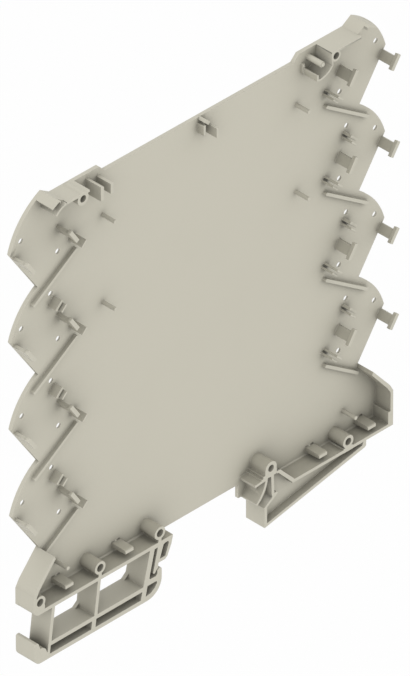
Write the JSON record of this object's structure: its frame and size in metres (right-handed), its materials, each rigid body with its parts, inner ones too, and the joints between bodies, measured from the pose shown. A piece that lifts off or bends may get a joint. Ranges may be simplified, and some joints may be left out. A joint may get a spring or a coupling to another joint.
{
  "type": "din rail enclosure side shell",
  "caption": "One-piece moulded side shell of a slim DIN rail electronics housing, with stepped terminal edges and two feet that clip onto a 35 mm top-hat rail.",
  "frame": {"origin": "on the flat outer face, at the middle of the 35 mm rail's width, in the plane where the feet rest on the rail's flanges", "axes": "+X across the rail, from the hooked foot with the spring finger towards the foot with the tapering arm; +Y out of the flat outer face, along the rail; +Z away from the rail. The ribs, bosses and walls rise from the panel towards -Y."},
  "size_m": [0.12, 0.0061, 0.1247],
  "materials": {
    "housing_plastic": "fine satin moulded surface, light warm grey"
  },
  "bodies": {
    "root": {"side_shell": "housing_plastic"}
  },
  "joints": []
}
